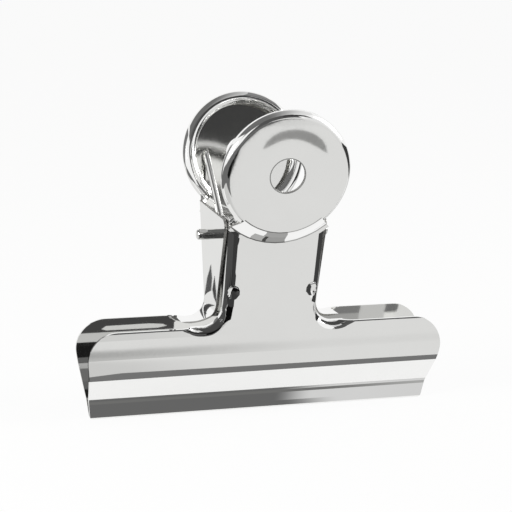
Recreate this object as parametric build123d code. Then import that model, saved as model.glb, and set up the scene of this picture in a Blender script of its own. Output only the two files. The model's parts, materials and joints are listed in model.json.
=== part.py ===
from build123d import *
from math import asin, atan2, ceil, cos, hypot, pi, radians, sin, sqrt, tan
import os

# Bulldog clip. X runs along the jaws, -Y is the front, Z is up, and the
# origin is in the middle of the closed lips' bottom edge. Millimetres, degrees.

# The sheet that both plates are pressed from
sheet = 0.6
bend_radius = 2.0

# The jaw from the side, on its outside
lip_gap = 0.1
lip_height = 3.9
lip_lean = 14.0
slant_lean = 36.0
belly_reach = 6.95
waist_reach = 6.35
waist_height = 18.8
crease_radius = 0.9
belly_radius = 7.0
waist_radius = 7.0

# The jaw from the front
jaw_width = 75.0
end_taper = 6.9
wing_top = 19.2
wing_corner = 6.0
lip_corner = 0.6
shoulder_radius = 4.0
shoulder_fade = 45.0

# The lever: neck, side flanges and thumb disc
lever_lean = 12.5
neck_width = 21.4
flange_depth = 2.6
dent_height = 26.6
dent_inset = 1.3
dent_radius = 1.75
dent_depth = 0.8
ear_rise = 5.3
ear_drop = 1.0
ear_corner = 1.6
flange_corner = 0.4
ear_setback_top = 1.9
ear_setback_low = 3.9
ear_foot = 21.0
lobe_radius = 3.6
lobe_corner = 3.24
lobe_sweep = 3.0
lobe_foot = 27.0
side_clearance = 0.1
disc_height = 51.7
disc_radius = 13.15
rim_radius = 1.4
rim_curl = 250.0
skirt_half_angle = 41.0
skirt_slope = 45.0
skirt_bend = 1.2
hang_hole_radius = 3.5

# The hinge pin
pin_radius = 1.1
pin_height = 37.2
pin_stub = 3.2
pin_chamfer = 0.3
pin_clearance = 0.05

# The torsion spring
wire_radius = 0.7
coil_radius = 2.55
coil_half_length = 7.2
leg_splay = 1.0
whole_turns = 7
leg_touch = 0.05
leg_height = 0.4

# Sizes that follow from those above
jaw_half = jaw_width / 2
outer_half = neck_width / 2
inner_half = outer_half - sheet - side_clearance
face_height = 2 * rim_radius - sheet / 2
rim_centre = disc_radius - rim_radius
block_reach = jaw_half + wing_corner
block_back = disc_height
block_over = 1.0
FROM_FOOT = (Align.CENTER, Align.CENTER, Align.MIN)
neck_end = disc_height - rim_centre / 2
ear_top = pin_height + ear_rise
skirt_run = face_height / tan(radians(skirt_slope))
skirt_corner = rim_centre + rim_radius * tan(radians(skirt_slope / 2))
skirt_foot = skirt_corner + skirt_run + skirt_bend * tan(radians(skirt_slope / 2))


def neck_reach(z):
    """How far the neck's outside is from the middle plane at a height."""
    return waist_reach + (z - waist_height) * tan(radians(lever_lean))


def inset_line(points, depth):
    """A line of points moved sideways by a depth, its corners kept sharp."""
    normals = []
    for (ay, az), (by, bz) in zip(points, points[1:]):
        length = hypot(by - ay, bz - az)
        normals.append(((bz - az) / length, (ay - by) / length))
    moved = []
    for i, (y, z) in enumerate(points):
        first = normals[max(i - 1, 0)]
        second = normals[min(i, len(normals) - 1)]
        share = 1 + first[0] * second[0] + first[1] * second[1]
        moved.append(
            (
                y + depth * (first[0] + second[0]) / share,
                z + depth * (first[1] + second[1]) / share,
            )
        )
    return moved


def side_face():
    """What lies behind the plate's outside, seen from the side."""
    foot = lip_gap / 2 + sheet
    crease = foot + lip_height * tan(radians(lip_lean))
    belly_height = lip_height + (belly_reach - crease) / tan(radians(slant_lean))
    over = block_over * tan(radians(lip_lean))
    line = [
        (-foot + over, -block_over),
        (-crease, lip_height),
        (-belly_reach, belly_height),
        (-waist_reach, waist_height),
        (-neck_reach(disc_height), disc_height),
    ]
    outside = FilletPolyline(*line, radius=[crease_radius, belly_radius, waist_radius])
    top = disc_height + block_over
    bottom = -2 * block_over
    first, last = line[0], line[-1]
    rest = Polyline(last, (last[0], top), (block_back, top), (block_back, bottom), (first[0], bottom), first)
    return make_face(outside.edges() + rest.edges())


def front_face(half):
    """The pressing's front outline with the neck's sides and shoulders."""
    rise = radians(shoulder_fade)
    touch_x = half + shoulder_radius * (1 + sin(rise))
    touch_z = wing_top + shoulder_radius * (1 - cos(rise))
    corner = touch_z - (touch_x - half) * tan(rise)
    far_z = corner + (block_reach - half) * tan(rise)
    line = [
        (-block_reach, -block_over),
        (block_reach, -block_over),
        (block_reach, far_z),
        (half, corner),
        (half, disc_height),
        (-half, disc_height),
        (-half, corner),
        (-block_reach, far_z),
    ]
    radii = [0, 0, 0, shoulder_radius, 0, 0, shoulder_radius, 0]
    return make_face(FilletPolyline(*line, radius=radii, close=True).edges())


def bend_edges(block):
    """The edges along the neck's sides and shoulders where the flanges turn back."""
    chosen = []
    for edge in block.edges():
        middle = edge @ 0.5
        along = edge % 0.5
        inside = abs(middle.X) < jaw_half + block_over and middle.Y < block_back - block_over
        between = wing_top - block_over < middle.Z < disc_height - block_over
        across = abs(along.X) > 0.999 and edge.geom_type == GeomType.LINE
        if inside and between and not across and abs(along.Y) < 0.9:
            chosen.append(edge)
    return chosen


def pressed_block(half):
    """A solid filling the pressing from its outside to the back, its long edges rounded as the sheet bends."""
    side = extrude(Plane.YZ * side_face(), amount=block_reach + block_over, both=True)
    front = extrude(Plane.XZ * front_face(half), amount=2 * block_back, both=True)
    block = side & front
    return fillet(bend_edges(block), radius=bend_radius)


def jaw_outline(half):
    """The cut edge of the jaw's wings, and the neck above them, seen from the front."""
    slope = tan(radians(end_taper))
    widest = wing_top - wing_corner
    at_widest = jaw_half + wing_corner * (1 / cos(radians(end_taper)) - 1)
    foot = at_widest - widest * slope
    head = at_widest + wing_corner * slope
    line = [(-foot, 0), (foot, 0), (head, wing_top), (-head, wing_top)]
    radii = [lip_corner, lip_corner, wing_corner, wing_corner]
    wings = make_face(FilletPolyline(*line, radius=radii, close=True).edges())
    low = wing_top - wing_corner
    neck = Rectangle(2 * (half + shoulder_radius), neck_end - low, align=(Align.CENTER, Align.MIN))
    return wings + Pos(0, low) * neck


def outer_ear():
    """The side view kept of the outer plate: its sheet, and flanges reaching nearly to the other plate."""
    low = wing_top - flange_depth
    line = [
        (-neck_reach(ear_top) - block_over, ear_top),
        (neck_reach(ear_top) - ear_setback_top, ear_top - ear_drop),
        (neck_reach(ear_foot) - ear_setback_low, ear_foot),
        (-waist_reach + flange_depth, low),
        (-waist_reach - block_over, low),
    ]
    radii = [0, ear_corner, ear_corner, flange_corner, 0]
    return make_face(FilletPolyline(*line, radius=radii, close=True).edges())


def inner_ear():
    """The side view kept of the inner plate: its sheet, narrow flanges and a lobe round the pin."""
    low = wing_top - flange_depth
    line = [
        (-neck_reach(ear_top) - block_over, ear_top),
        (lobe_radius, pin_height + lobe_radius),
        (lobe_radius, pin_height - lobe_radius),
        (-neck_reach(lobe_foot) + flange_depth, lobe_foot),
        (-waist_reach + flange_depth, low),
        (-waist_reach - block_over, low),
    ]
    radii = [0, lobe_corner, lobe_corner, lobe_sweep, flange_corner, 0]
    return make_face(FilletPolyline(*line, radius=radii, close=True).edges())


def disc_frame():
    """The plane of the neck's outside at the disc's middle, facing outward, its Y up the lever."""
    lean = radians(lever_lean)
    return Plane(
        origin=(0, -neck_reach(disc_height), disc_height),
        x_dir=(1, 0, 0),
        z_dir=(0, -cos(lean), -sin(lean)),
    )


def rim_section():
    """The rolled-back rim cut through, from the edge of the disc's flat face."""
    middle = face_height - rim_radius
    start_angle = 90
    inner = rim_radius - sheet
    end = radians(start_angle - rim_curl)
    tip_out = (rim_centre + rim_radius * cos(end), middle + rim_radius * sin(end))
    tip_in = (rim_centre + inner * cos(end), middle + inner * sin(end))
    edges = [
        CenterArc((rim_centre, middle), rim_radius, start_angle, -rim_curl),
        Line(tip_out, tip_in),
        CenterArc((rim_centre, middle), inner, start_angle, -rim_curl),
        Line((rim_centre, face_height - sheet), (rim_centre, face_height)),
    ]
    return make_face(edges)


def skirt_section():
    """The slope cut through that joins the disc's flat face to the neck below it."""
    line = [
        (rim_centre - sheet, face_height),
        (skirt_corner, face_height),
        (skirt_corner + skirt_run, 0),
        (skirt_foot + sheet, 0),
    ]
    inside = inset_line(line, sheet)
    over = FilletPolyline(*line, radius=[rim_radius, skirt_bend])
    under = FilletPolyline(*inside, radius=[rim_radius - sheet, skirt_bend + sheet])
    ends = [Line(line[0], inside[0]), Line(line[-1], inside[-1])]
    return make_face(over.edges() + under.edges() + [edge.edge() for edge in ends])


def thumb_disc():
    """The round thumb plate with its hang hole, rolled rim and the slope down to the neck."""
    flat = Pos(0, 0, face_height - sheet / 2) * Cylinder(rim_centre, sheet)
    rim = revolve(Plane.XZ * rim_section(), axis=Axis.Z, revolution_arc=360 - 2 * skirt_half_angle)
    skirt = revolve(Plane.XZ * skirt_section(), axis=Axis.Z, revolution_arc=2 * skirt_half_angle)
    disc = flat + Rot(0, 0, skirt_half_angle - 90) * rim
    disc += Rot(0, 0, -skirt_half_angle - 90) * skirt
    disc -= Cylinder(hang_hole_radius, 4 * face_height)
    return disc_frame() * disc


def disc_room():
    """The room that the disc and its skirt take in the neck's end."""
    low = -bend_radius - sheet / 2
    depth = 2 * face_height - low
    under_skirt = Plane.XZ * Pos(skirt_foot / 2, low + depth / 2) * Rectangle(skirt_foot, depth)
    wedge = revolve(under_skirt, axis=Axis.Z, revolution_arc=2 * skirt_half_angle)
    return Pos(0, 0, low) * Cylinder(disc_radius, depth, align=FROM_FOOT) + Rot(0, 0, -skirt_half_angle - 90) * wedge


def neck_dents(half, grow):
    """Balls that leave a shallow round dent in the neck beside each flange, grown by the sheet for its inside."""
    lean = radians(lever_lean)
    ball = (dent_radius**2 + dent_depth**2) / (2 * dent_depth)
    out = ball - dent_depth
    y = -neck_reach(dent_height) - out * cos(lean)
    z = dent_height - out * sin(lean)
    x = half - dent_inset
    return Pos(x, y, z) * Sphere(ball + grow) + Pos(-x, y, z) * Sphere(ball + grow)


def pressed_plate(half, ear, hole):
    """One plate: jaw, neck, flanges and thumb disc as a single pressing, facing the front."""
    block = pressed_block(half)
    inside = offset(block, amount=-sheet) - neck_dents(half, sheet)
    skin = block - neck_dents(half, 0) - inside
    strip = side_face() - offset(side_face(), amount=-sheet)
    kept = extrude(Plane.YZ * (strip + ear), amount=block_reach, both=True)
    outline = extrude(Plane.XZ * jaw_outline(half), amount=block_back - block_over - sheet, both=True)
    plate = skin & outline & kept
    plate -= disc_frame() * disc_room()
    plate += thumb_disc()
    plate -= Pos(0, 0, pin_height) * Rot(0, 90, 0) * Cylinder(hole, 4 * half)
    return plate


def hinge_pin():
    """A plain pin through all four ears, its ends broken."""
    length = 2 * (outer_half + pin_stub)
    pin = Cylinder(pin_radius, length)
    pin = chamfer(pin.edges().filter_by(GeomType.CIRCLE), pin_chamfer)
    return Pos(0, 0, pin_height) * Rot(0, 90, 0) * pin


def leg_line():
    """Where the rear leg's end meets the rear disc, and the leg's slope up from the coil."""
    lean = radians(lever_lean)
    off = face_height - sheet - wire_radius - leg_touch
    y = neck_reach(disc_height) + off * cos(lean) + leg_height * sin(lean)
    z = disc_height - off * sin(lean) + leg_height * cos(lean) - pin_height
    slope = atan2(z, y) + asin(coil_radius / hypot(y, z))
    length = sqrt(y * y + z * z - coil_radius**2)
    return slope, length


def coil_stations():
    """Points and directions along the coil from the rear leg to the front one, a quarter turn apart."""
    slope, length = leg_line()
    first = slope - pi / 2
    turn = 2 * pi * whole_turns + pi + 2 * first
    count = 2 * ceil(turn / pi)
    rise = 2 * coil_half_length / turn
    stations = []
    for i in range(count + 1):
        angle = first - turn * i / count
        x = -coil_half_length + rise * turn * i / count
        point = Vector(x, coil_radius * cos(angle), pin_height + coil_radius * sin(angle))
        lead = rise if 0 < i < count else coil_radius * leg_splay / length
        way = Vector(lead, coil_radius * sin(angle), -coil_radius * cos(angle)).normalized()
        stations.append((point, way))
    return stations


def two_arcs(start, way_in, end, way_out):
    """Two arcs that join smoothly between two points with given directions."""
    gap = end - start
    both = way_in + way_out
    square = 2 * (way_in.dot(way_out) - 1)
    middle = -2 * gap.dot(both)
    d = (-middle - sqrt(middle**2 - 4 * square * gap.dot(gap))) / (2 * square)
    joint = (start + end + (way_in - way_out) * d) * 0.5
    first = Edge.make_tangent_arc(start, way_in, joint)
    second = Edge.make_tangent_arc(joint, first % 1, end)
    return [first, second]


def spring_path():
    """The wire's middle line: rear leg, coil and front leg."""
    slope, length = leg_line()
    stations = coil_stations()
    first, last = stations[0][0], stations[-1][0]
    up_rear = Vector(-leg_splay, length * cos(slope), length * sin(slope))
    up_front = Vector(leg_splay, -length * cos(slope), length * sin(slope))
    edges = [Edge.make_line(first + up_rear, first)]
    for (a, way_a), (b, way_b) in zip(stations, stations[1:]):
        edges += two_arcs(a, way_a, b, way_b)
    edges.append(Edge.make_line(last, last + up_front))
    return Wire(edges)


def least_wire_gap(path):
    """The least gap between the wire and itself, measured on points along it."""
    count = 700
    points = [path @ (i / count) for i in range(count + 1)]
    step = path.length / count
    apart = int(pi * coil_radius / step)
    least = min((points[i] - points[j]).length for i in range(count) for j in range(i + apart, count + 1))
    return least - 2 * wire_radius


def torsion_spring():
    """One unbroken wire wound round the pin, a leg against each thumb disc."""
    path = spring_path()
    print("least gap of the spring's wire to itself, mm:", round(least_wire_gap(path), 3))
    section = Plane(origin=path @ 0, z_dir=path % 0) * Circle(wire_radius)
    return sweep(section, path=path)


def export(name, shape):
    os.makedirs("parts", exist_ok=True)
    solid = shape.solids()
    assert len(solid) == 1, name
    solid[0].label = name
    export_step(solid[0], os.path.join("parts", name + ".step"))


export("rear_plate", Rot(0, 0, 180) * pressed_plate(outer_half, outer_ear(), pin_radius))
export("front_plate", pressed_plate(inner_half, inner_ear(), pin_radius + pin_clearance))
export("hinge_pin", hinge_pin())
export("torsion_spring", torsion_spring())
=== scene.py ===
import json
import math

import bmesh
import bpy
from mathutils import Matrix, Vector
from mathutils.geometry import interpolate_bezier


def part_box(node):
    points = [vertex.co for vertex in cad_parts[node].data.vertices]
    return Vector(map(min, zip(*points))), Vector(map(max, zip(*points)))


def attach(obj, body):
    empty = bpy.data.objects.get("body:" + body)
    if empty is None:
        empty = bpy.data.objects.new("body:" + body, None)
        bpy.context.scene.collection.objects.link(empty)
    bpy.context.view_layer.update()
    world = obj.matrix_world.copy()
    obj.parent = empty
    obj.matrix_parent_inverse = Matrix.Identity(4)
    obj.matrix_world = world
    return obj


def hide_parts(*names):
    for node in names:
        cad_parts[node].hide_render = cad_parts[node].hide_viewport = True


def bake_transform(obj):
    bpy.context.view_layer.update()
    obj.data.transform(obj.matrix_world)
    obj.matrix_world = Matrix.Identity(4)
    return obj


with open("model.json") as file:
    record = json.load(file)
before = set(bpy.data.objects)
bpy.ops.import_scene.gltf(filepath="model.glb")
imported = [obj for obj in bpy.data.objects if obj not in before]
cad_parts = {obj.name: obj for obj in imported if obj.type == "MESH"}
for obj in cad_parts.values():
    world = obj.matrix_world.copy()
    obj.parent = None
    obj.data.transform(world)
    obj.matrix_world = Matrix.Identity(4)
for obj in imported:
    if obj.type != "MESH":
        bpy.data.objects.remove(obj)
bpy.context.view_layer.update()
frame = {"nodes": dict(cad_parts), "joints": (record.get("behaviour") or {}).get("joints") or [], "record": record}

# Rear plate: a pressing of mild steel sheet, blanked, bent and rolled in a press and then nickel plated.
# Its deep flanges reach forward and hold the pin.
MM = 0.001
weld_distance = 0.002 * MM
flat_angle = math.radians(0.3)
shear_angle = math.radians(28)
edge_round = 0.1 * MM
edge_steps = 2
set_in_share = 3  # times that a form set in one face borders it for longer than the other
most_weight = 100  # shading follows the broad faces, not the broken edges


def linear(hex_colour):
    """An sRGB hex colour as linear RGBA."""
    channels = [int(hex_colour[i : i + 2], 16) / 255 for i in (1, 3, 5)]
    return [c / 12.92 if c <= 0.04045 else ((c + 0.055) / 1.055) ** 2.4 for c in channels] + [1]


def add_node(tree, kind, inputs=None, **settings):
    """One node with its settings; an input takes a value, or another node's output as a link."""
    node = tree.nodes.new(kind)
    for name, value in settings.items():
        setattr(node, name, value)
    for name, value in (inputs or {}).items():
        if isinstance(value, bpy.types.NodeSocket):
            tree.links.new(value, node.inputs[name])
        else:
            node.inputs[name].default_value = value
    return node


def bright_nickel(name, colour, gloss, wave_height):
    """Bright nickel plate over steel: a mirror with faint waves and a wiped, cloudy gloss."""
    wave_size = 9 * MM
    cloud_size = 14 * MM
    grain_size = 0.5 * MM  # coarser than the plating's own grain, so that it shows
    cloud_depth = 0.03
    sharpest = 0.8 * gloss
    dullest = 1.3 * gloss
    material = bpy.data.materials.new(name)
    material.use_nodes = True
    tree = material.node_tree
    shader = tree.nodes["Principled BSDF"]
    place = add_node(tree, "ShaderNodeTexCoord").outputs["Object"]
    waves = add_node(tree, "ShaderNodeTexNoise", {"Vector": place, "Scale": 1 / wave_size, "Detail": 1.0})
    clouds = add_node(tree, "ShaderNodeTexNoise", {"Vector": place, "Scale": 1 / cloud_size, "Detail": 4.0})
    grain = add_node(tree, "ShaderNodeTexNoise", {"Vector": place, "Scale": 1 / grain_size, "Detail": 2.0})
    tone = add_node(
        tree,
        "ShaderNodeMapRange",
        {"Value": clouds.outputs["Fac"], "To Min": 1 - cloud_depth, "To Max": 1 + cloud_depth},
    )
    tint = add_node(
        tree,
        "ShaderNodeMix",
        {"Factor": 1.0, "A": linear(colour), "B": tone.outputs["Result"]},
        data_type="RGBA",
        blend_type="MULTIPLY",
    )
    haze = add_node(
        tree,
        "ShaderNodeMapRange",
        {
            "Value": grain.outputs["Fac"],
            "From Min": 0.3,
            "From Max": 0.7,
            "To Min": sharpest,
            "To Max": dullest,
        },
    )
    bump = add_node(
        tree,
        "ShaderNodeBump",
        {"Height": waves.outputs["Fac"], "Strength": 1.0, "Distance": wave_height},
    )
    shader.inputs["Metallic"].default_value = 1.0
    tree.links.new(tint.outputs["Result"], shader.inputs["Base Color"])
    tree.links.new(haze.outputs["Result"], shader.inputs["Roughness"])
    tree.links.new(bump.outputs["Normal"], shader.inputs["Normal"])
    return material


# Bright nickel on the pressed outside is a clean mirror that carries the room's tones in unbroken bands.
nickel_on_sheet = bright_nickel("bright_nickel_on_pressed_steel", "#F2F2F1", 0.04, 0.006 * MM)
# Inside the pressing the nickel comes out less bright, which softens the reflections a little.
nickel_inside = bright_nickel("satin_nickel_inside_pressing", "#EDEDEB", 0.08, 0.006 * MM)
# Over a sheared edge the torn steel keeps the nickel dull, so the sheet shows as a darker grey line.
nickel_on_shear = bright_nickel("nickel_on_sheared_edge", "#A8A7A4", 0.3, 0.01 * MM)


def smooth_groups(skin):
    """The faces in groups that no sharp edge divides, the largest area first."""
    groups, seen = [], set()
    for face in skin.faces:
        if face in seen:
            continue
        group, queue = [], [face]
        seen.add(face)
        while queue:
            current = queue.pop()
            group.append(current)
            for edge in current.edges:
                if edge.smooth:
                    for other in edge.link_faces:
                        if other not in seen:
                            seen.add(other)
                            queue.append(other)
        groups.append(group)
    return sorted(groups, key=lambda g: -sum(f.calc_area() for f in g))


def lay_finishes(groups, last):
    """Gives each group its finish: outside, inside or, for the rest, the last one.

    A small form set in the outside or the inside takes that face's finish. Returns the faces of the dents,
    which are the forms that border nothing else.
    """
    rank_of = {face: rank for rank, group in enumerate(groups) for face in group}
    dents = set()
    for rank, group in enumerate(groups):
        border = {}
        for edge in (edge for face in group for edge in face.edges):
            for face in edge.link_faces:
                border[rank_of[face]] = border.get(rank_of[face], 0) + edge.calc_length()
        finish = min(rank, last)
        outside, inside = border.get(0, 0), border.get(1, 0)
        if 0 < last <= rank and max(outside, inside) > set_in_share * min(outside, inside):
            finish = 0 if outside > inside else 1
            itself_and_one_more = len(border) == 2
            if itself_and_one_more:
                dents.update(group)
        for face in group:
            face.material_index = finish
    return dents


def finished_metal(node, name, materials):
    """The CAD node's own form in one skin, its sharp edges broken, with its finishes laid on."""
    skin = bmesh.new()
    skin.from_mesh(frame["nodes"][node].data)
    bmesh.ops.remove_doubles(skin, verts=skin.verts, dist=weld_distance)
    bmesh.ops.dissolve_limit(skin, angle_limit=flat_angle, verts=skin.verts, edges=skin.edges)
    sharp = [edge for edge in skin.edges if edge.calc_face_angle(0) > shear_angle]
    for face in skin.faces:
        face.smooth = True
    for edge in skin.edges:
        edge.smooth = True
    for edge in sharp:
        edge.smooth = False
    last = len(materials) - 1
    dents = lay_finishes(smooth_groups(skin), last)
    sharp = [edge for edge in sharp if not dents.intersection(edge.link_faces)]
    for edge in skin.edges:
        edge.smooth = True
    bmesh.ops.bevel(
        skin,
        geom=sharp,
        offset=edge_round,
        segments=edge_steps,
        profile=0.5,
        affect="EDGES",
        clamp_overlap=True,
        material=last,
    )
    mesh = bpy.data.meshes.new(name)
    skin.to_mesh(mesh)
    skin.free()
    for material in materials:
        mesh.materials.append(material)
    piece = bpy.data.objects.new(name, mesh)
    bpy.context.scene.collection.objects.link(piece)
    shade = piece.modifiers.new("true shading", "WEIGHTED_NORMAL")
    shade.weight = most_weight
    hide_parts(node)
    return piece


plate_finishes = [nickel_on_sheet, nickel_inside, nickel_on_shear]
rear_plate = finished_metal("rear_plate", "rear_pressing", plate_finishes)
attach(rear_plate, "rear")

# Front plate: a pressing of the same sheet and finish. Its flanges are narrow, fit between the rear plate's,
# and have a lobe each that turns on the pin.
front_plate = finished_metal("front_plate", "front_pressing", plate_finishes)
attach(front_plate, "front")

# Hinge pin: a length of bright drawn steel rod, nickel plated, its ends broken with a small chamfer,
# pressed through the rear plate's flanges so that the front plate turns on it.

# Nickel on drawn rod is nearly as bright as on the sheet, with fainter waves.
nickel_on_rod = bright_nickel("bright_nickel_on_drawn_rod", "#DEDEDC", 0.06, 0.003 * MM)
hinge_pin = finished_metal("hinge_pin", "hinge_rod", [nickel_on_rod])
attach(hinge_pin, "rear")

# Torsion spring: one length of hard-drawn spring wire, nickel plated, wound on a mandrel and slipped over
# the pin, its two straight legs sprung against the backs of the thumb discs.
hinge = Vector(frame["joints"][0]["pos_m"])
wire_radius = 0.7 * MM
end_chamfer = 0.12 * MM
coil_radius = 2.55 * MM
coil_half_length = 7.2 * MM
whole_turns = 7
rings_per_turn = 48
rings_per_leg = 12
sides = 16
slope_rounds = 30
spring_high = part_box("torsion_spring")[1]
leg_splay = spring_high.x - coil_half_length - wire_radius


def leg_slope():
    """The legs' slope and length: they leave the coil straight and end where the solid's legs end."""
    slope = math.pi / 4
    for _ in range(slope_rounds):
        y = spring_high.y - wire_radius * math.sin(slope)
        z = spring_high.z - hinge.z - wire_radius * math.cos(slope)
        reach = math.hypot(y, z)
        slope = math.atan2(z, y) + math.asin(coil_radius / reach)
    return slope, math.sqrt(reach**2 - coil_radius**2)


def spring_line():
    """Points along the wire's middle: the rear leg, the coil by its formula and the front leg."""
    slope, length = leg_slope()
    first = slope - math.pi / 2
    turn = 2 * math.pi * whole_turns + math.pi + 2 * first
    count = round(rings_per_turn * turn / (2 * math.pi))
    coil = []
    for i in range(count + 1):
        angle = first - turn * i / count
        x = coil_half_length * (2 * i / count - 1)
        coil.append(hinge + Vector((x, coil_radius * math.cos(angle), coil_radius * math.sin(angle))))
    rear_way = Vector((-leg_splay, length * math.cos(slope), length * math.sin(slope)))
    front_way = Vector((leg_splay, -length * math.cos(slope), length * math.sin(slope)))
    steps = [i / rings_per_leg for i in range(1, rings_per_leg + 1)]
    rear_leg = [coil[0] + rear_way * s for s in reversed(steps)]
    front_leg = [coil[-1] + front_way * s for s in steps]
    return rear_leg + coil + front_leg


def wire_mesh(name, points, radius):
    """A round wire along the points, its ends cut square with a broken edge."""
    end = len(points) - 1
    ways = [(points[min(i + 1, end)] - points[max(i - 1, 0)]).normalized() for i in range(end + 1)]
    across = ways[0].orthogonal().normalized()
    rings = []
    for point, way in zip(points, ways):
        across = (across - way * across.dot(way)).normalized()
        rings.append((point, across, way.cross(across), radius))
    first, last = rings[0], rings[-1]
    rings[0] = (first[0] + ways[0] * end_chamfer, first[1], first[2], radius)
    rings[-1] = (last[0] - ways[-1] * end_chamfer, last[1], last[2], radius)
    rings = [first[:3] + (radius - end_chamfer,)] + rings + [last[:3] + (radius - end_chamfer,)]
    verts, faces = [], []
    for point, u, v, r in rings:
        for k in range(sides):
            angle = 2 * math.pi * k / sides
            verts.append(point + (u * math.cos(angle) + v * math.sin(angle)) * r)
    for i in range(len(rings) - 1):
        for k in range(sides):
            a, b = i * sides + k, i * sides + (k + 1) % sides
            faces.append((a, b, b + sides, a + sides))
    last_ring = (len(rings) - 1) * sides
    faces.append(tuple(reversed(range(sides))))
    faces.append(tuple(range(last_ring, last_ring + sides)))
    mesh = bpy.data.meshes.new(name)
    mesh.from_pydata(verts, [], faces)
    mesh.shade_smooth()
    return mesh


# Nickel on spring wire follows the fine marks of the drawing die, so its highlights are a little broader.
nickel_on_wire = bright_nickel("bright_nickel_on_spring_wire", "#E2E2E0", 0.1, 0.002 * MM)
spring = bpy.data.objects.new("spring_wire", wire_mesh("spring_wire", spring_line(), wire_radius))
spring.data.materials.append(nickel_on_wire)
bpy.context.scene.collection.objects.link(spring)
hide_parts("torsion_spring")
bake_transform(spring)

# Table: a white painted table top that the clip stands on, a piece of the stage and not of the object.
# It looks near white to the camera and in the plating, and keeps the clip's soft shadow.
table_half = 2000
table_glow = 0.9


def seen_straight(tree):
    """One for a ray from the camera, a mirror or glass, and nought for one from a matt surface."""
    rays = add_node(tree, "ShaderNodeLightPath").outputs
    seen = rays["Is Camera Ray"]
    for kind in ("Is Glossy Ray", "Is Transmission Ray"):
        seen = add_node(tree, "ShaderNodeMath", {0: seen, 1: rays[kind]}, operation="MAXIMUM").outputs[0]
    return seen


def white_paint(name, colour, glow):
    """Matt white paint that the camera and the plating see as near white, with the object's shadow kept."""
    material = bpy.data.materials.new(name)
    material.use_nodes = True
    tree = material.node_tree
    tree.nodes.clear()
    share = add_node(tree, "ShaderNodeMath", {0: seen_straight(tree), 1: glow}, operation="MULTIPLY")
    matt = add_node(tree, "ShaderNodeBsdfDiffuse", {"Color": linear(colour)})
    white = add_node(tree, "ShaderNodeEmission", {"Color": linear("#FFFFFF"), "Strength": 1.0})
    mix = add_node(
        tree,
        "ShaderNodeMixShader",
        {0: share.outputs[0], 1: matt.outputs[0], 2: white.outputs[0]},
    )
    add_node(tree, "ShaderNodeOutputMaterial", {"Surface": mix.outputs[0]})
    return material


def stage_mesh(name, corners, material):
    """A flat sheet of the stage, its corners in millimetres."""
    mesh = bpy.data.meshes.new(name)
    mesh.from_pydata([Vector(c) * MM for c in corners], [], [tuple(range(len(corners)))])
    mesh.materials.append(material)
    sheet = bpy.data.objects.new(name, mesh)
    bpy.context.scene.collection.objects.link(sheet)
    return sheet


def block(first, second):
    """The four corners that two spans give."""
    return [(first[0], second[0]), (first[1], second[0]), (first[1], second[1]), (first[0], second[1])]


def level(points, height):
    """Corners of a level sheet at a height, from points along X and Y."""
    return [(x, y, height) for x, y in points]


# White table paint is flat and even, so nothing on the table draws the eye from the clip.
white_table = white_paint("white_table_paint", "#F4F4F2", table_glow)
table_span = (-table_half, table_half)
stage_mesh("table", level(block(table_span, table_span), 0), white_table)

# Room cards: grey sheets far in front of the clip and above it, for the darker room that the plating mirrors
# as broad bands, with a dark and a pale one nearer, painted reflections that the rear disc shows through the
# hang hole.
room_depth = -420
ceiling_height = 400
dark_depth = -100
pale_depth = -60


def card(name, corners, grey, far_grey=None, fade=(0, 1), body=None):
    """A card that only reflections show, of one grey or fading along X to another; it may go with a body."""
    material = bpy.data.materials.new(name + "_card")
    material.use_nodes = True
    tree = material.node_tree
    tree.nodes.clear()
    glow = add_node(tree, "ShaderNodeEmission", {"Color": linear(grey), "Strength": 1.0})
    if far_grey:
        place = add_node(tree, "ShaderNodeTexCoord").outputs["Object"]
        along = add_node(tree, "ShaderNodeSeparateXYZ", {"Vector": place}).outputs["X"]
        share = add_node(
            tree,
            "ShaderNodeMapRange",
            {"Value": along, "From Min": fade[0] * MM, "From Max": fade[1] * MM},
            interpolation_type="SMOOTHSTEP",
        )
        tint = add_node(
            tree,
            "ShaderNodeMix",
            {"Factor": share.outputs["Result"], "A": linear(grey), "B": linear(far_grey)},
            data_type="RGBA",
        )
        tree.links.new(tint.outputs["Result"], glow.inputs["Color"])
    add_node(tree, "ShaderNodeOutputMaterial", {"Surface": glow.outputs[0]})
    sheet = stage_mesh(name, corners, material)
    sheet.visible_camera = False
    sheet.visible_diffuse = False
    sheet.visible_shadow = False
    if body:
        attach(sheet, body)


def facing(points, depth):
    """Corners of an upright sheet that faces the front, from points along X and Z."""
    return [(x, depth, z) for x, z in points]


card("room_flag", facing(block((-150, 165), (10, ceiling_height)), room_depth), "#565656")
card("room_corner_flag", facing(block((-500, -150), (270, ceiling_height)), room_depth), "#6A6A6A")
ceiling = level(block((-500, 300), (room_depth, 250)), ceiling_height)
card("ceiling_flag", ceiling, "#707070", "#E8E8E8", (-100, 250))
# Painted reflections: a pale and a dark patch that the rear disc shows through the hang hole.
card("painted_pale_hole_reflection", facing(block((22, 44), (57, 76)), pale_depth), "#E8E8E8")
card("painted_dark_hole_reflection", facing(block((12, 65), (84, 125)), dark_depth), "#404040")

# Neck cards: dark sheets close to both sides of the neck and over the shoulders, painted dark reflections that
# draw the bends of the flanges, the left dent and the shoulders in dark lines. The right side's goes with the
# front plate.
left_of_neck = -16
right_of_neck = 12
before_neck = -16
above_wings = 19.6
above_shoulders = 24


def sideways(points, across):
    """Corners of an upright sheet that faces sideways, from points along Y and Z."""
    return [(across, y, z) for y, z in points]


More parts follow.
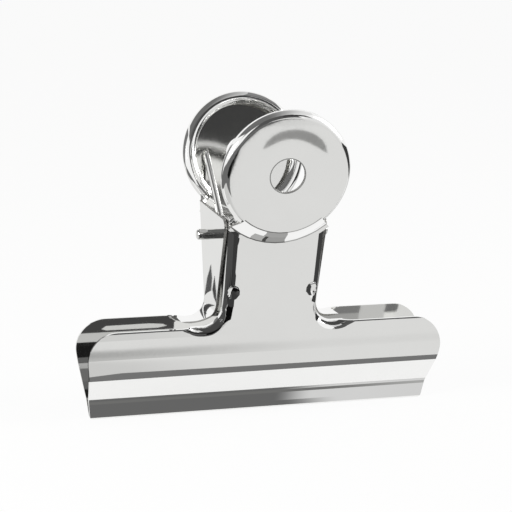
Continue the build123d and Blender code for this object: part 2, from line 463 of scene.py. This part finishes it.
card("flange_side_flag", sideways(block((before_neck, -2.5), (19.8, 38)), left_of_neck), "#4C4C4C")
flange_edge = [(-6.3, above_wings), (-6.3, 24.6), (-7.7, 25.4), (-7.7, 32.5), (-6.3, 33.5), (-6.3, 36)]
flange_front = [(left_of_neck, above_wings)] + flange_edge + [(left_of_neck, 36)]
card("flange_front_flag", facing(flange_front, before_neck), "#3A3A3A")
# A near-black sheet over the left dent: the dent's dark is a painted reflection.
dent_side = [(-8, -8.5), (-7, before_neck), (left_of_neck, before_neck), (left_of_neck, -8.5)]
card("painted_dent_reflection", level(dent_side, above_wings), "#0C0C0C")
card("right_shoulder_flag", level(block((13.5, 21), (-10.2, -4.5)), above_shoulders), "#484848")
card("left_shoulder_flag", level(block((-20, -12.3), (-17, -4.5)), above_shoulders), "#484848")
right_side = [(-11, 22.5), (-5, 22.5), (-6, 38.5), (-13.5, 38.5)]
card("right_side_flag", sideways(right_side, right_of_neck), "#404040", body="front")

# Rim cards: dark and grey sheets, level and low before the clip, upright at its sides and close above the
# rear disc, painted reflections that the rolled rims gather into thin rings. A small white one is a painted
# highlight on the spring's rear leg.
low_height = 19.6
above_low = 0.1
above_rear_rim = 70
left_wall = -45
right_wall = 150
beside_leg = -14
core_line = [(32, -96), (0, -94), (-40, -84), (-42, -66), (-25, -63), (0, -64), (4, -62)]
face_line = [(10, -75), (17, -83), (24, -87), (30, -88)]
card("rim_core_flag", level(core_line + face_line, low_height), "#161616")
sky_line = [(2, -54), (-10, -51), (-25, -49), (-40, -49), (-50, -40), (-58, -22), (-58, 60)]
far_left = [(-300, 60), (-300, -400), (34, -400)]
card("rim_flag", level(core_line + sky_line + far_left, low_height + above_low), "#6E6E6E")
card("left_upper_flag", sideways(block((5, 70), (38, 75)), left_wall), "#787878")
right_slope = [(-150, 0), (-100, 42), (-50, 56), (0, 62), (45, 62), (45, 0)]
card("right_wall_flag", sideways(right_slope, right_wall), "#3A3A3A")
# A white card beside the rear leg: a painted highlight on the spring wire.
leg_highlight_shape = [(5, 43), (9, 43.5), (14, 49), (14, 57), (9, 56), (5, 50)]
card("painted_leg_highlight", sideways(leg_highlight_shape, beside_leg), "#FFFFFF")
card("rear_rim_flag", level([(1, 7), (6, 5), (18, 2.5), (20, 10), (3, 10)], above_rear_rim), "#5A5A5A")
card("rear_rim_flag_2", level([(3, 10), (20, 10), (16, 18), (4, 19)], above_rear_rim), "#888888")

# Ear cards: two dark slips beside the rear plate, left of the clip and edge-on from its back, painted
# reflections that its left flange shows as narrow dark wedges.
beside_ear = -15
ear_wedge = [(16, 27.5), (19, 23.8), (21.1, 19.4), (18.7, 20.6), (15.5, 21.8), (14.9, 24.6)]
card("ear_wedge", sideways(ear_wedge, beside_ear), "#585858")
ear_slip = [(13, 25.7), (14.7, 22.2), (13.5, 20.8), (11.2, 19.8), (11.4, 22.1)]
card("ear_wedge_2", sideways(ear_slip, beside_ear), "#484848")

# Throat cards: slips between the jaws, near one plate or the other, painted dark and pale reflections in place
# of what the insides of the wings mirror in each other, and thin ones before the wings' top edges that paint
# dark lines along them. They go with the front plate.
near_rear = 3
near_front = -4.5
before_edges = -8
before_rolls = -10
over_slips = 0.1
left_wing = (-40, -16.2)
left_half = (-40, -5)
right_wing = (19, 28)
edge_up = (18.2, 19)
roll_up = (17.25, 17.65)
painted_throat_reflections = [
    ("throat_shade", near_rear, left_wing, (15.05, 19), "#464646"),
    ("throat_low", near_rear, left_wing, (13.05, 15.05), "#C8C8C7"),
    ("throat_jaw", near_rear, left_half, (7.2, 11.9), "#6E6E6E"),
    ("throat_floor", near_front, left_half, (9, 15.2), "#1C1C1C"),
    ("throat_upper", near_front, left_half, (15.2, 19), "#646464"),
    ("throat_end", near_rear, (-16.2, -6.2), (13.05, 18), "#EAEAE9"),
    ("right_shade", near_front, right_wing, (13.1, 19), "#808080"),
    ("right_low", near_front, right_wing, (10, 13.1), "#A8A8A7"),
    ("right_middle", near_front, (28, 34), (10, 19), "#CACAC9"),
    ("right_corner", near_front, (34, 37), (13, 19), "#747474"),
    ("left_edge_line", before_edges, (-39, -13), edge_up, "#585858"),
    ("right_edge_line", before_edges, (14.5, 39), edge_up, "#585858"),
]
for name, depth, across, up, grey in painted_throat_reflections:
    card(name, facing(block(across, up), depth), grey, body="front")
oval_foot = [(-31.7, 15.85), (-30.7, 15.5), (-19.7, 15.5), (-17.7, 15.85)]
oval_top = [(-18.7, 16.3), (-21.7, 16.6), (-30.7, 16.5)]
card("throat_oval", facing(oval_foot + oval_top, near_rear + over_slips), "#D6D6D5", body="front")
# A pale strip before the wings' top rolls: a painted highlight along them.
wing_roll = facing(block((-40, 40), roll_up), before_rolls)
card("painted_wing_roll_highlight", wing_roll, "#D6D6D5", "#E4E4E3", (-30, -2), body="front")

# Disc cards: slips just off the skirt below the front disc, painted white and grey reflections in place of the
# room that it mirrors, and a ring that paints the hang hole's edge as a grey line. They go with the front plate.
# A crescent, level and low before the clip, paints the grey crescent on the disc as a reflection.
front_hole = next(mount for mount in frame["record"]["mounts"] if mount["name"] == "hang_hole_front")
disc_middle = Vector(front_hole["pos_m"]) / MM
disc_out = Vector(front_hole["axis"])
disc_across = Vector((1, 0, 0))
disc_down = disc_across.cross(disc_out)
slip_turn = 9
skirt_end = 41
white_from = 5.5
# Each as the radius from the disc's middle and the height out of its face.
skirt_brow = (12, 0.6)
skirt_top = (12.3, 0.5)
skirt_middle = (13.65, -0.8)
skirt_foot = (15, -2.1)
skirt_hem = (15.25, -2.12)
ring_inner, ring_outer, ring_out = 3.5, 3.72, 0.42
ring_turn = 10
crescent_height = 22
curve_points = 12


def beside_disc(turn, radius, out):
    """A point by the front disc: degrees round from its foot, from its middle, and out of its face."""
    angle = math.radians(turn)
    way = disc_across * math.sin(angle) + disc_down * math.cos(angle)
    return disc_middle + radius * way + out * disc_out


# Each row is a painted reflection on the skirt, white or grey.
painted_skirt_reflections = [
    (-skirt_end, -15, skirt_top, skirt_middle, "#FFFFFF"),
    (-skirt_end, -23, skirt_middle, skirt_foot, "#FFFFFF"),
    (-23, -13, skirt_middle, skirt_foot, "#B4B4B3"),
    (-13, -10, skirt_middle, skirt_foot, "#4C4C4B"),
    (-15, white_from, skirt_top, skirt_middle, "#A8A8A7"),
    (-10, white_from, skirt_middle, skirt_foot, "#A0A09F"),
    (white_from, skirt_end, skirt_top, skirt_foot, "#FFFFFF"),
    (-skirt_end, white_from, skirt_brow, skirt_top, "#6E6E6D"),
    (white_from, skirt_end, skirt_brow, skirt_top, "#A8A8A7"),
    (-skirt_end, white_from, skirt_foot, skirt_hem, "#6A6A69"),
    (white_from, skirt_end, skirt_foot, skirt_hem, "#A8A8A7"),
    (-62, -skirt_end, (13.5, 0.6), (13.5, -3), "#F2F2F1"),
]
for row, (start, end, top, foot, grey) in enumerate(painted_skirt_reflections):
    steps = math.ceil((end - start) / slip_turn)
    turns = [start + (end - start) * i / steps for i in range(steps + 1)]
    for a, b in zip(turns, turns[1:]):
        corners = [beside_disc(a, *top), beside_disc(b, *top), beside_disc(b, *foot), beside_disc(a, *foot)]
        card(f"skirt_card_{row}_{a:.0f}", corners, grey, body="front")
# The ring paints the hang hole's edge as a grey line in reflection.
ring_turns = range(0, 361, ring_turn)
painted_hole_edge = [beside_disc(turn, ring_outer, ring_out) for turn in ring_turns]
painted_hole_edge += [beside_disc(turn, ring_inner, ring_out) for turn in reversed(ring_turns)]
card("hole_ring_card", painted_hole_edge, "#8A8A89", body="front")
# The crescent paints the grey crescent on the front disc as a reflection.
left_tip, right_tip = Vector((13.9, -70.5)), Vector((29, -68))
outer_handles = Vector((20.2, -83.3)), Vector((32.6, -79.9))
outer_arc = interpolate_bezier(left_tip, *outer_handles, right_tip, curve_points)
inner_handles = Vector((23.1, -79.3)), Vector((18.7, -73))
inner_arc = interpolate_bezier(right_tip, *inner_handles, left_tip, curve_points)
card("painted_disc_crescent", level(outer_arc[:-1] + inner_arc[:-1], crescent_height), "#949493")

# Floor cards: pale greys laid over the table before and behind the clip, painted reflections that the plates
# show as their main tone, fading along X, with painted bands on the wings and a painted dark band on the belly,
# and slips before the front lip that paint shade on it, darker at its left.
floor_across = (-300, 300)
jaw_across = (-40, 40)
floor_height = 0.4
belly_height = 0.5
band_height = 0.6
line_height = 0.7
before_lip, before_crease = -2.1, -2.05
lip_foot, lip_crease, lip_head = 0.3, 2.72, 3.6
rear_floor = level(block(floor_across, (14, 600)), floor_height)
card("rear_floor_card", rear_floor, "#EAEAE9", "#D2D2D1", (-30, 40))
front_floor = level(block(floor_across, (-400, -10)), floor_height)
card("front_card", front_floor, "#D2D2D1", "#E4E4E3", (-30, -2))
wing_band = level(block(floor_across, (-148, -114)), band_height)
card("wing_band_card", wing_band, "#BEBEBD", "#E2E2E1", (-20, 60))
wing_line = level(block(floor_across, (-142, -126)), line_height)
card("wing_line_card", wing_line, "#A9A9A8", "#DEDEDD", (-20, 60))
# A dark strip before the belly's foot: a painted dark band on the belly.
painted_belly_band = [(-45, -7.6), (-28, -13.7), (80, -12.2), (80, -8), (-28, -6.4), (-45, -6)]
card("painted_belly_band", level(painted_belly_band, belly_height), "#787878")
# Lip slips: painted shade on the front lip, dark at its left and fading pale to the right.
lip_floor = level(block(jaw_across, (before_lip, -0.7)), lip_foot)
card("painted_lip_shade_below", lip_floor, "#6A6A6A", "#DADADA", (5, 18), body="front")
lip_side = facing(block(jaw_across, (lip_foot, lip_head)), before_lip)
card("painted_lip_shade", lip_side, "#6A6A6A", "#DADADA", (3, 12), body="front")
crease_side = facing(block(jaw_across, (lip_crease, lip_head)), before_crease)
card("painted_lip_crease_shade", crease_side, "#737372", "#B0B0AF", (12, 38), body="front")

# Surround and lamps: a white studio that the camera and the plating see as white, and two softboxes,
# left and right of the clip, that give it a soft shadow on the table.
surround_light = 0.6
lamp_aim = (0, 0, 30)
lamp_watts = 1.2
world = bpy.data.worlds.new("white_surround")
world.use_nodes = True
tree = world.node_tree
strength = add_node(
    tree,
    "ShaderNodeMapRange",
    {"Value": seen_straight(tree), "To Min": surround_light, "To Max": 1.0},
)
tree.links.new(strength.outputs["Result"], tree.nodes["Background"].inputs["Strength"])
tree.nodes["Background"].inputs["Color"].default_value = linear("#FFFFFF")
bpy.context.scene.world = world


def soft_lamp(name, place, size):
    """A softbox at a place, both its sizes in millimetres too, turned to face the clip."""
    lamp = bpy.data.lights.new(name, "AREA")
    lamp.shape = "RECTANGLE"
    lamp.size, lamp.size_y = size[0] * MM, size[1] * MM
    lamp.energy = lamp_watts
    holder = bpy.data.objects.new(name, lamp)
    holder.location = Vector(place) * MM
    holder.rotation_euler = (Vector(lamp_aim) - Vector(place)).to_track_quat("-Z", "Y").to_euler()
    bpy.context.scene.collection.objects.link(holder)


soft_lamp("left_softbox", (-380, -120, 130), (200, 120))
soft_lamp("right_softbox", (450, -150, 250), (250, 300))

# Camera: at the photograph's place and angle, fitted to the clip's outline, with a little roll.
# Its focal length is counted in pixels of the square photograph.
azimuth, elevation, roll = math.radians(-17.12), math.radians(11.545), math.radians(1.063)
look_at = Vector((-1.275, 0, 32.23)) * MM
distance = 339.6 * MM
focal_pixels = 1656.4
photo_pixels = 512
sensor_width = 36
back = Vector(
    (math.sin(azimuth) * math.cos(elevation), -math.cos(azimuth) * math.cos(elevation), math.sin(elevation))
)
level_right = Vector((0, 0, 1)).cross(back).normalized()
level_up = back.cross(level_right)
right = level_right * math.cos(roll) + level_up * math.sin(roll)
up = level_up * math.cos(roll) - level_right * math.sin(roll)
lens = bpy.data.cameras.new("camera")
lens.sensor_width = sensor_width
lens.lens = focal_pixels / photo_pixels * sensor_width
camera = bpy.data.objects.new("camera", lens)
camera.matrix_world = Matrix(
    [[right[i], up[i], back[i], look_at[i] + back[i] * distance] for i in range(3)] + [[0, 0, 0, 1]]
)
bpy.context.scene.collection.objects.link(camera)
bpy.context.scene.camera = camera
bpy.context.scene.view_settings.view_transform = "Standard"

bpy.context.view_layer.update()
